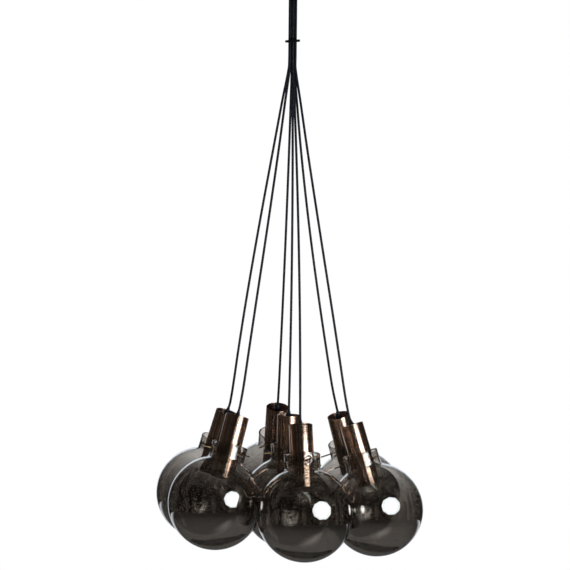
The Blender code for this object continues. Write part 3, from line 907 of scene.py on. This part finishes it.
# Bulb: an opal reflector lamp with a screwed cap, its face just inside the tube's mouth
bulb = {
    "tip": 0.05925,
    "dome": 0.004,
    "rim": 0.008,
    "faceRadius": 0.0208,
    "faceShares": ((0.55, 0.0007), (0.3, 0.0002), (0.0, 0.0)),  # of its radius, and metres above the tip
    "cornerRadius": 0.004,
    "cornerLift": 0.0035,
    "cornerArc": (0, -60, 6),  # its first and last angle, and its steps
    "slopeSteps": 5,
    "neckInset": 0.0008,
    "neckLength": 0.004,
    "capRadius": 0.0131,
    "capTop": 0.13345,
    "capBottom": 0.1030,
    "capMargin": 0.001,  # faces this little below its bottom are still metal
    "capShoulder": 0.003,
    "threads": 6,
    "threadStart": 0.004,  # below the cap's top
    "threadDepth": 0.0009,
    "threadArc": (80, -80, 4),
    "rootDepth": 1.4,  # of the thread's depth, between two threads
    "contactRadius": 0.0045,
    "contactSlope": 0.001,
    "steps": 64,
}


def bulbBody():
    # The profile runs from the contact down the cap and the glass; the cap's faces take the second material
    top, cap, bottom = bulb["capTop"], bulb["capRadius"], bulb["capBottom"]
    contact, slope = bulb["contactRadius"], bulb["contactSlope"]
    profile = [(0, top), (contact, top), (contact + slope, top - slope)]
    profile.append((cap - bulb["capShoulder"], top - bulb["capShoulder"]))
    start, depth = top - bulb["threadStart"], bulb["threadDepth"]
    pitch = (start - bottom) / bulb["threads"]
    for index in range(bulb["threads"]):
        crest = start - pitch * (index + 0.5)
        profile += arcPoints((cap - depth, crest), depth, *bulb["threadArc"])
        profile.append((cap - depth * bulb["rootDepth"], crest - pitch / 2))
    neck = (cap - bulb["neckInset"], bottom - bulb["neckLength"])
    profile += [(neck[0], bottom), neck]
    rim, wide = bulb["tip"] + bulb["dome"], bulb["faceRadius"]
    shoulder = rim + bulb["rim"]
    for step in range(1, bulb["slopeSteps"] + 1):
        share = step / bulb["slopeSteps"]
        ease = share * share * (3 - 2 * share)
        profile.append((neck[0] + (wide - neck[0]) * ease, neck[1] + (shoulder - neck[1]) * share))
    corner = (wide - bulb["cornerRadius"], rim + bulb["cornerLift"])
    profile += arcPoints(corner, bulb["cornerRadius"], *bulb["cornerArc"])
    profile += [(wide * share, bulb["tip"] + lift) for share, lift in bulb["faceShares"]]
    bm = turnedBody(profile, bulb["steps"])
    for face in bm.faces:
        face.material_index = int(face.calc_center_median().z > bottom - bulb["capMargin"])
    return bm


def makePendants():
    bodies = {
        "blown_globe": (globeBody(), [glassFinish], "smoked_glass", "glass_globe", False),
        "drawn_tube": (tubeBody(), [copperFinish, boreFinish], "polished_copper", "copper_tube", True),
        "brass_pins": (pinsBody(pins["tip"]), [brassFinish], "brass", "pin_carrier", True),
        "flared_grip": (gripBody(), [rubberFinish], "black_rubber", "cord_grip", True),
        "porcelain_holder": (holderBody(), [porcelainFinish], "white_ceramic", "lampholder", True),
        "opal_bulb": (bulbBody(), [opalFinish, nickelFinish], "opal_glass", "bulb", True),
    }
    shortPins = (pinsBody(pins["shortTip"]), *bodies["brass_pins"][1:])
    for label, place in places.items():
        own = dict(bodies, brass_pins=shortPins) if label == "left_back" else bodies
        for kind, (bm, finishes, slot, node, sharp) in own.items():
            piece = finishPiece(bm.copy(), f"{label}_{kind}", finishes, place, sharp)
            attach(piece, f"{label}_pendant", slot, f"{label}_{node}")
    for bm, *rest in [*bodies.values(), shortPins]:
        bm.free()


makePendants()
print("seven pendants made")


# Gathering disc: turned and painted, with a hole for each cable
disc = {
    "radius": 0.016,
    "thickness": 0.0046,
    "level": -0.150,
    "askew": math.radians(-4.0),  # about the y axis, which runs from front to back
    "holeRadius": 0.0031,
    "edge": 0.0004,
    "steps": 96,
}


def cableHoles(radius):
    outer = [inBundle(index, 0.0) for index in range(len(cluster["names"]))]
    return [(0.0, 0.0, radius)] + [(spot.x, spot.y, radius) for spot in outer]


def makeDisc():
    half = disc["thickness"] / 2
    outline = circleOutline(disc["radius"], disc["steps"])
    stages = ((1, disc["level"] - half), (1, disc["level"] + half))
    bm = holedPlate(outline, cableHoles(disc["holeRadius"]), stages)
    softenEdges(bm, disc["edge"])
    middle = Matrix.Translation((0, 0, disc["level"]))
    askew = middle @ Matrix.Rotation(disc["askew"], 4, "Y") @ middle.inverted()
    piece = finishPiece(bm, "threaded_disc", [mattFinish], askew)
    attach(piece, "gather_disc", "black_paint", "gather_disc")


# Outlet bush: moulded, its flange rests on the canopy's floor and its nose carries the seven cables
bush = {
    "radius": 0.0145,
    "flangeRadius": 0.019,
    "seat": -0.0387,
    "top": -0.0347,
    "bottom": -0.0505,
    "holeRadius": 0.0031,
    "edge": 0.0007,
    "steps": 96,
}


def makeBush():
    wide = bush["flangeRadius"] / bush["radius"]
    outline = circleOutline(bush["radius"], bush["steps"])
    stages = ((1, bush["bottom"]), (1, bush["seat"]), (wide, bush["seat"]), (wide, bush["top"]))
    bm = holedPlate(outline, cableHoles(bush["holeRadius"]), stages)
    softenEdges(bm, bush["edge"])
    attach(finishPiece(bm, "moulded_bush", [rubberFinish]), "ceiling_fitting", "black_bush", "outlet_bush")


# Canopy: a spun steel cup, powder coated, held by two side screws
canopy = {
    "radius": 0.060,
    "wall": 0.0015,
    "top": -0.0005,
    "floor": -0.0405,
    "edge": 0.004,
    "edgeSteps": 6,
    "outlet": 0.0148,
    "screwLevel": -0.014,
    "screwHole": 0.0023,
    "lipWidth": 0.0004,
    "patchColumns": 2,
    "steps": 144,
}


def makeCanopy():
    radius, wall, floor = canopy["radius"], canopy["wall"], canopy["floor"]
    column = math.tau * radius / canopy["steps"]
    rows = patchRows(canopy["screwLevel"], column, canopy["patchColumns"])
    corner = (radius - canopy["edge"], floor + canopy["edge"])
    profile = [(canopy["outlet"], floor)] + arcPoints(corner, canopy["edge"], -90, 0, canopy["edgeSteps"])
    profile += [(radius, row) for row in rows] + [(radius, canopy["top"]), (radius - wall, canopy["top"])]
    profile += [(radius - wall, row) for row in reversed(rows)]
    profile += arcPoints(corner, canopy["edge"] - wall, 0, -90, canopy["edgeSteps"])
    profile.append((canopy["outlet"], floor + wall))
    bm = turnedBody(profile, canopy["steps"], closed=True)
    softenEdges(bm, wall / 4)
    place = {
        "patch": column * canopy["patchColumns"],
        "level": canopy["screwLevel"],
        "outerRadius": radius,
        "innerRadius": radius - wall,
    }
    hole = drilledHole(canopy["screwHole"], canopy["lipWidth"], place)
    for bearing in (0, math.pi):
        openHole(bm, bearing, hole)
    bmesh.ops.recalc_face_normals(bm, faces=bm.faces)
    attach(finishPiece(bm, "spun_canopy", [paintFinish]), "ceiling_fitting", "black_paint", "canopy_cup")


# Ceiling bracket: a bent steel strip with two ceiling holes and the two side screws in its tabs
bracket = {
    "halfLength": 0.056,
    "halfWidth": 0.010,
    "thickness": 0.003,
    "tabDrop": 0.022,
    "tabHalfWidth": 0.008,
    "holeRadius": 0.0025,
    "holeSteps": 32,
    "holeSpacing": 0.070,
    "screwLevel": canopy["screwLevel"],
    "screwRadius": 0.002,
    "screwSteps": 32,
    "headRadius": 0.0035,
    "headSeat": 0.0603,
    "headLength": 0.0025,
    "headShares": (  # of its radius, and metres in from its crown
        (1.0, 0.0012),
        (0.85, 0.0004),
        (0.55, 0.0),
        (0.45, 0.0),
        (0.4, 0.0012),
        (0.0, 0.0014),
    ),
    "edge": 0.0004,
}


def makeBracket():
    length, width, thick = bracket["halfLength"], bracket["halfWidth"], bracket["thickness"]
    holes = [(side * bracket["holeSpacing"] / 2, 0, bracket["holeRadius"]) for side in (-1, 1)]
    bm = holedPlate(boxOutline(length, width), holes, ((1, -thick), (1, 0)), bracket["holeSteps"])
    for side in (-1, 1):
        size = Vector((thick, 2 * bracket["tabHalfWidth"], bracket["tabDrop"] - thick / 2))
        centre = Vector((side * (length - thick / 2), 0, -thick / 2 - size.z / 2))
        bmesh.ops.create_cube(bm, size=1, matrix=Matrix.Translation(centre) @ Matrix.Diagonal((*size, 1)))
    softenEdges(bm, bracket["edge"])
    for side in (-1, 1):
        screwBody(bm, side)
    piece = finishPiece(bm, "bent_bracket", [zincFinish])
    attach(piece, "ceiling_fitting", "zinc_plated_steel", "ceiling_bracket")


def screwBody(bm, side):
    # A domed screw with a round driver recess, lying along x at the tab
    head, shank = bracket["headRadius"], bracket["screwRadius"]
    root = bracket["halfLength"] - bracket["thickness"] / 2
    end = bracket["headSeat"] + bracket["headLength"]
    profile = [(0, root), (shank, root), (shank, bracket["headSeat"]), (head, bracket["headSeat"])]
    profile += [(head * share, end - depth) for share, depth in bracket["headShares"]]
    made = turnedBody(profile, bracket["screwSteps"])
    piece = bpy.data.meshes.new("screw")
    made.to_mesh(piece)
    made.free()
    turn = Matrix.Rotation(side * math.pi / 2, 4, "Y")
    piece.transform(Matrix.Translation((0, 0, bracket["screwLevel"])) @ turn)
    bm.from_mesh(piece)
    bpy.data.meshes.remove(piece)


# Connector block: moulded nylon, with a screw well on each side of the cables for every way
block = {
    "halfLength": 0.022,
    "halfWidth": 0.013,
    "top": -0.0033,
    "bottom": -0.0163,
    "ways": 7,
    "wellRadius": 0.0019,
    "wellPlace": 0.0108,
    "screwShare": 0.94,  # of the well's radius
    "screwSides": 20,
    "screwDepth": 0.002,
    "edge": 0.0005,
}


def makeBlock():
    length, width = block["halfLength"], block["halfWidth"]
    pitch = 2 * length / block["ways"]
    wells = [
        (-length + pitch * (way + 0.5), side * block["wellPlace"], block["wellRadius"])
        for way in range(block["ways"])
        for side in (-1, 1)
    ]
    bm = holedPlate(boxOutline(length, width), wells, ((1, block["bottom"]), (1, block["top"])))
    softenEdges(bm, block["edge"])
    for x, y, radius in wells:
        place = Matrix.Translation((x, y, block["bottom"] + block["screwDepth"] * 2))
        screw = radius * block["screwShare"]
        made = bmesh.ops.create_cone(
            bm, cap_ends=True, segments=block["screwSides"], radius1=screw, radius2=screw,
            depth=block["screwDepth"], matrix=place,
        )
        for face in {f for v in made["verts"] for f in v.link_faces}:
            face.material_index = 1
    piece = finishPiece(bm, "connector_block", [nylonFinish, brassFinish])
    attach(piece, "ceiling_fitting", "white_plastic", "terminal_block")


makeDisc()
makeBush()
makeCanopy()
makeBracket()
makeBlock()
print("ceiling fitting made")


# Studio: white all round to the eye, over a pale floor, with one large soft lamp. Mirrors show something
# else: a white wall behind the cluster, a dark room in front, painted lamp light and a dark curved band on
# the floor, and the lamp's face.
studio = {
    "white": "#FFFFFF",
    "wall": "#EAF2FC",
    "ambient": 0.6,
    "wallWay": (0.0, 1.0, 0.02),
    "wallEdge": math.radians(20.0),  # half the angle that the white wall fills, seen from the globes
    "wallSoft": math.radians(5.0),
    "wallAgain": 0.12,  # its strength after more than one reflection
    "room": "#D8CDBE",
    "panelSize": 0.30,  # radians between the room's upright shapes
    "panelStretch": (1.0, 1.0, 0.12),
    "panelDetail": 4.0,
    "panelFrom": 0.48,
    "panelTo": 0.68,
    "panelDark": 0.003,
    "panelBright": 0.10,
    "grainSize": 0.040,
    "grainFrom": 0.57,
    "grainTo": 0.70,
    "grainBright": 0.38,
    "roomTop": 0.55,  # what is left of the room's brightness overhead
    "topFrom": 0.2,  # heights between which it is lost, where 1 is straight up
    "topTo": 0.9,
    "floorLevel": -2.4,
    "floorRadius": 4.6,
    "floorSides": 96,
    "floorRough": 0.7,
    "fadeStart": 0.4,  # shares of its radius between which it turns white
    "fadeEnd": 0.95,
    "floorPale": "#EDEBE7",  # as the eye sees it
    "floorColour": "#D6D3CE",  # as mirrors see it
    "sweep": "#EDF3FA",
    "floorMiddle": 0.150,  # painted lamp light: its strength in mirrors, in the middle and far out
    "floorFar": 0.05,
    "dimStart": 1.3,
    "dimEnd": 3.3,
    # A painted pool of the lamp's light on the floor, as mirrors see it
    "glowPlace": (0.60, -1.20, 0.0),
    "glowTurn": math.radians(-33.0),
    "glowSize": (1.2, 0.50, 1.0),
    "glowStrength": 0.30,
    "darkBandNear": -0.24,  # a dark band lies curved on the floor under the globes, between these two on its middle line
    "darkBandFar": 0.49,
    "darkBandHalfLength": 0.88,
    "darkBandDimming": 0.90,
    "sweepStart": 1.9,
    "sweepEnd": 3.2,
    "lampPlace": (0.915, -1.158, -0.76),
    "lampAim": (0.0, 0.0, -1.10),
    "lampRadius": 0.565,
    "lampStretch": (1.05, 0.90, 1.0),
    "lampSides": 9,
    "lampMiddle": "#FFFFFF",
    "lampEdge": "#E6EFF5",
    "lampMiddleShare": 0.1,  # of its radius, where the middle ends
    "lampEdgeShare": 0.7,  # and where the edge begins
    "lampStrength": 3.4,
    "mirroredStrength": 10.0,
    "mirroredEdge": 3.1,
}


def bouncedOff(tree, path, count):
    # 1 for a ray that has left at least this many mirroring surfaces
    made = addNode(
        tree, "Math", {"operation": "GREATER_THAN"},
        {0: path.outputs["Glossy Depth"], 1: count - 0.5},
    )
    return made.outputs[0]


def makeWorld():
    world = bpy.data.worlds.new("studio")
    scene.world = world
    world.use_nodes = True
    tree = world.node_tree
    tree.nodes.clear()
    way = addNode(tree, "TexCoord").outputs["Generated"]
    path = addNode(tree, "LightPath")
    facing = addNode(
        tree, "VectorMath", {"operation": "DOT_PRODUCT"},
        {0: way, 1: Vector(studio["wallWay"]).normalized()},
    )
    wall = addNode(
        tree, "MapRange", {"interpolation_type": "SMOOTHSTEP"},
        {
            0: facing.outputs["Value"],
            1: math.cos(studio["wallEdge"] + studio["wallSoft"]),
            2: math.cos(studio["wallEdge"]),
        },
    )
    again = addNode(tree, "MapRange", None, {0: bouncedOff(tree, path, 2), 3: 1.0, 4: studio["wallAgain"]})
    wall = addNode(tree, "Math", {"operation": "MULTIPLY"}, {0: wall.outputs[0], 1: again.outputs[0]})
    # The room: upright shapes that vary round it, with a fine bright grain over them
    upright = addNode(tree, "VectorMath", {"operation": "MULTIPLY"}, {0: way, 1: studio["panelStretch"]})
    shapes = addNode(
        tree, "TexNoise", None,
        {"Vector": upright.outputs[0], "Scale": 1 / studio["panelSize"], "Detail": studio["panelDetail"]},
    )
    panels = addNode(
        tree, "MapRange", None,
        {
            0: shapes.outputs[0], 1: studio["panelFrom"], 2: studio["panelTo"],
            3: studio["panelDark"], 4: studio["panelBright"],
        },
    )
    fine = addNode(tree, "TexNoise", None, {"Vector": way, "Scale": 1 / studio["grainSize"]})
    grain = addNode(
        tree, "MapRange", None,
        {0: fine.outputs[0], 1: studio["grainFrom"], 2: studio["grainTo"], 4: studio["grainBright"]},
    )
    height = addNode(tree, "SeparateXYZ", None, {0: way})
    fade = addNode(
        tree, "MapRange", {"interpolation_type": "SMOOTHSTEP"},
        {0: height.outputs["Z"], 1: studio["topFrom"], 2: studio["topTo"], 3: 1.0, 4: studio["roomTop"]},
    )
    both = addNode(tree, "Math", {"operation": "ADD"}, {0: panels.outputs[0], 1: grain.outputs[0]})
    faded = addNode(tree, "Math", {"operation": "MULTIPLY"}, {0: both.outputs[0], 1: fade.outputs[0]})
    dark = addNode(
        tree, "VectorMath", {"operation": "SCALE"},
        {0: fromHex(studio["room"])[:3], "Scale": faded.outputs[0]},
    )
    mirrored = addNode(
        tree, "Mix", {"data_type": "RGBA"},
        {0: wall.outputs[0], 6: dark.outputs[0], 7: fromHex(studio["wall"])},
    )
    seen = addNode(
        tree, "Mix", {"data_type": "RGBA"},
        {0: bouncedOff(tree, path, 1), 6: fromHex(studio["white"]), 7: mirrored.outputs[2]},
    )
    sight = addNode(
        tree, "Math", {"operation": "ADD"},
        {0: path.outputs["Is Camera Ray"], 1: path.outputs["Is Glossy Ray"]},
    )
    sight = addNode(
        tree, "Math", {"operation": "ADD", "use_clamp": True},
        {0: sight.outputs[0], 1: path.outputs["Is Transmission Ray"]},
    )
    background = addNode(tree, "Background", None, {0: seen.outputs[2], 1: 1.0})
    soft = addNode(tree, "Background", None, {0: fromHex(studio["white"]), 1: studio["ambient"]})
    mixed = addNode(
        tree, "MixShader", None,
        {0: sight.outputs[0], 1: soft.outputs[0], 2: background.outputs[0]},
    )
    addNode(tree, "OutputWorld", None, {0: mixed.outputs[0]})


def mirroredFloor(tree, flat):
    # The floor as mirrors see it, painted with the lamp's light: dimmer far out, with a painted pool of the
    # lamp's glow on it, a dark curved band under the globes and a white sweep behind them
    spot = addNode(tree, "SeparateXYZ", None, {0: flat})
    away = addNode(tree, "VectorMath", {"operation": "LENGTH"}, {0: flat})
    # Painted lamp light: the floor is brightest in its middle and dims far out
    front = addNode(
        tree, "MapRange", None,
        {
            0: away.outputs["Value"], 1: studio["dimStart"], 2: studio["dimEnd"],
            3: studio["floorMiddle"], 4: studio["floorFar"],
        },
    )
    # A painted pool of the lamp's glow
    turned = addNode(
        tree, "Mapping", {"vector_type": "TEXTURE"},
        {
            "Vector": flat,
            "Location": studio["glowPlace"],
            "Rotation": (0.0, 0.0, studio["glowTurn"]),
            "Scale": studio["glowSize"],
        },
    )
    reach = addNode(tree, "VectorMath", {"operation": "LENGTH"}, {0: turned.outputs[0]})
    glow = addNode(
        tree, "MapRange", {"interpolation_type": "SMOOTHSTEP"},
        {0: reach.outputs["Value"], 1: 0.0, 2: 1.0, 3: studio["glowStrength"], 4: 0.0},
    )
    lit = addNode(tree, "Math", {"operation": "ADD"}, {0: front.outputs[0], 1: glow.outputs[0]})
    # A dark curved band on the floor under the globes
    bowed = addNode(tree, "Math", {"operation": "POWER"}, {0: spot.outputs["X"], 1: 2.0})
    bowed = addNode(tree, "Math", {"operation": "SUBTRACT"}, {0: spot.outputs["Y"], 1: bowed.outputs[0]})
    middle, half = (studio["darkBandNear"] + studio["darkBandFar"]) / 2, (studio["darkBandFar"] - studio["darkBandNear"]) / 2
    across = addNode(tree, "Math", {"operation": "COMPARE"}, {0: bowed.outputs[0], 1: middle, 2: half})
    along = addNode(
        tree, "Math", {"operation": "COMPARE"},
        {0: spot.outputs["X"], 1: 0.0, 2: studio["darkBandHalfLength"]},
    )
    darkBand = addNode(tree, "Math", {"operation": "MULTIPLY"}, {0: across.outputs[0], 1: along.outputs[0]})
    darkBandFactor = addNode(tree, "MapRange", None, {0: darkBand.outputs[0], 3: 1.0, 4: 1.0 - studio["darkBandDimming"]})
    strength = addNode(tree, "Math", {"operation": "MULTIPLY"}, {0: lit.outputs[0], 1: darkBandFactor.outputs[0]})
    sweep = addNode(
        tree, "MapRange", {"interpolation_type": "SMOOTHSTEP"},
        {0: spot.outputs["Y"], 1: studio["sweepStart"], 2: studio["sweepEnd"]},
    )
    dim = addNode(
        tree, "VectorMath", {"operation": "SCALE"},
        {0: fromHex(studio["floorColour"])[:3], "Scale": strength.outputs[0]},
    )
    shade = addNode(
        tree, "Mix", {"data_type": "RGBA"},
        {0: sweep.outputs[0], 6: dim.outputs[0], 7: fromHex(studio["sweep"])},
    )
    return addNode(tree, "Emission", None, {0: shade.outputs[2], 1: 1.0})


def makeFloor():
    # A round pale floor that fades into the white round it before its edge
    radius = studio["floorRadius"]
    level = Matrix.Translation((0, 0, studio["floorLevel"]))
    bm = bmesh.new()
    bmesh.ops.create_circle(bm, cap_ends=True, segments=studio["floorSides"], radius=radius, matrix=level)
    made, tree, shader = newMaterial("pale_floor")
    place = addNode(tree, "TexCoord")
    flat = addNode(tree, "VectorMath", {"operation": "MULTIPLY"}, {0: place.outputs["Object"], 1: (1, 1, 0)})
    away = addNode(tree, "VectorMath", {"operation": "LENGTH"}, {0: flat.outputs[0]})
    fade = addNode(
        tree, "MapRange", {"interpolation_type": "SMOOTHSTEP"},
        {0: away.outputs["Value"], 1: radius * studio["fadeStart"], 2: radius * studio["fadeEnd"]},
    )
    path = addNode(tree, "LightPath")
    white = addNode(tree, "Emission", None, {0: fromHex(studio["white"]), 1: 1.0})
    direct = addNode(tree, "MixShader", None, {0: fade.outputs[0], 1: shader.outputs[0], 2: white.outputs[0]})
    mirrored = mirroredFloor(tree, flat.outputs[0])
    mixed = addNode(
        tree, "MixShader", None,
        {0: bouncedOff(tree, path, 1), 1: direct.outputs[0], 2: mirrored.outputs[0]},
    )
    tree.links.new(mixed.outputs[0], tree.nodes["Material Output"].inputs["Surface"])
    shader.inputs["Base Color"].default_value = fromHex(studio["floorPale"])
    shader.inputs["Roughness"].default_value = studio["floorRough"]
    stageObject("floor", bm, made)


def stageObject(name, bm, made):
    data = bpy.data.meshes.new(name)
    bm.to_mesh(data)
    bm.free()
    data.materials.append(made)
    staged = bpy.data.objects.new(name, data)
    scene.collection.objects.link(staged)
    return staged


def makeLamp(name, strength, edge):
    # A nine-sided soft box of this strength in its middle, whose colour cools towards its edge
    place, aim = Vector(studio["lampPlace"]), Vector(studio["lampAim"])
    turn = (place - aim).to_track_quat("Z", "Y").to_matrix().to_4x4()
    stretch = Matrix.Diagonal((*studio["lampStretch"], 1))
    bm = bmesh.new()
    bmesh.ops.create_circle(
        bm, cap_ends=True, segments=studio["lampSides"], radius=studio["lampRadius"],
        matrix=Matrix.Translation(place) @ turn @ stretch,
    )
    bmesh.ops.reverse_faces(bm, faces=bm.faces)
    made = bpy.data.materials.new(name)
    made.use_nodes = True
    tree = made.node_tree
    tree.nodes.clear()
    spot = addNode(tree, "TexCoord")
    away = addNode(tree, "VectorMath", {"operation": "DISTANCE"}, {0: spot.outputs["Object"], 1: place})
    middleEnd = studio["lampMiddleShare"] * studio["lampRadius"]
    edgeStart = studio["lampEdgeShare"] * studio["lampRadius"]
    fall = addNode(tree, "MapRange", None, {0: away.outputs["Value"], 1: middleEnd, 2: edgeStart})
    colour = addNode(
        tree, "Mix", {"data_type": "RGBA"},
        {0: fall.outputs[0], 6: fromHex(studio["lampMiddle"]), 7: fromHex(studio["lampEdge"])},
    )
    power = addNode(tree, "MapRange", None, {0: fall.outputs[0], 3: strength, 4: edge})
    glow = addNode(tree, "Emission", None, {0: colour.outputs[2], 1: power.outputs[0]})
    addNode(tree, "OutputMaterial", None, {0: glow.outputs[0]})
    lamp = stageObject(name, bm, made)
    lamp.visible_camera = False
    return lamp


def makeLamps():
    # One lamp in two parts: the light that falls on things, and the face that mirrors show, whose middle
    # is far brighter than its edge
    light = makeLamp("soft_lamp", studio["lampStrength"], studio["lampStrength"])
    light.visible_glossy = False
    light.visible_transmission = False
    face = makeLamp("lamp_face", studio["mirroredStrength"], studio["mirroredEdge"])
    face.visible_diffuse = False
    face.visible_shadow = False


makeWorld()
makeFloor()
makeLamps()
scene.view_settings.view_transform = "Standard"
print("studio made")
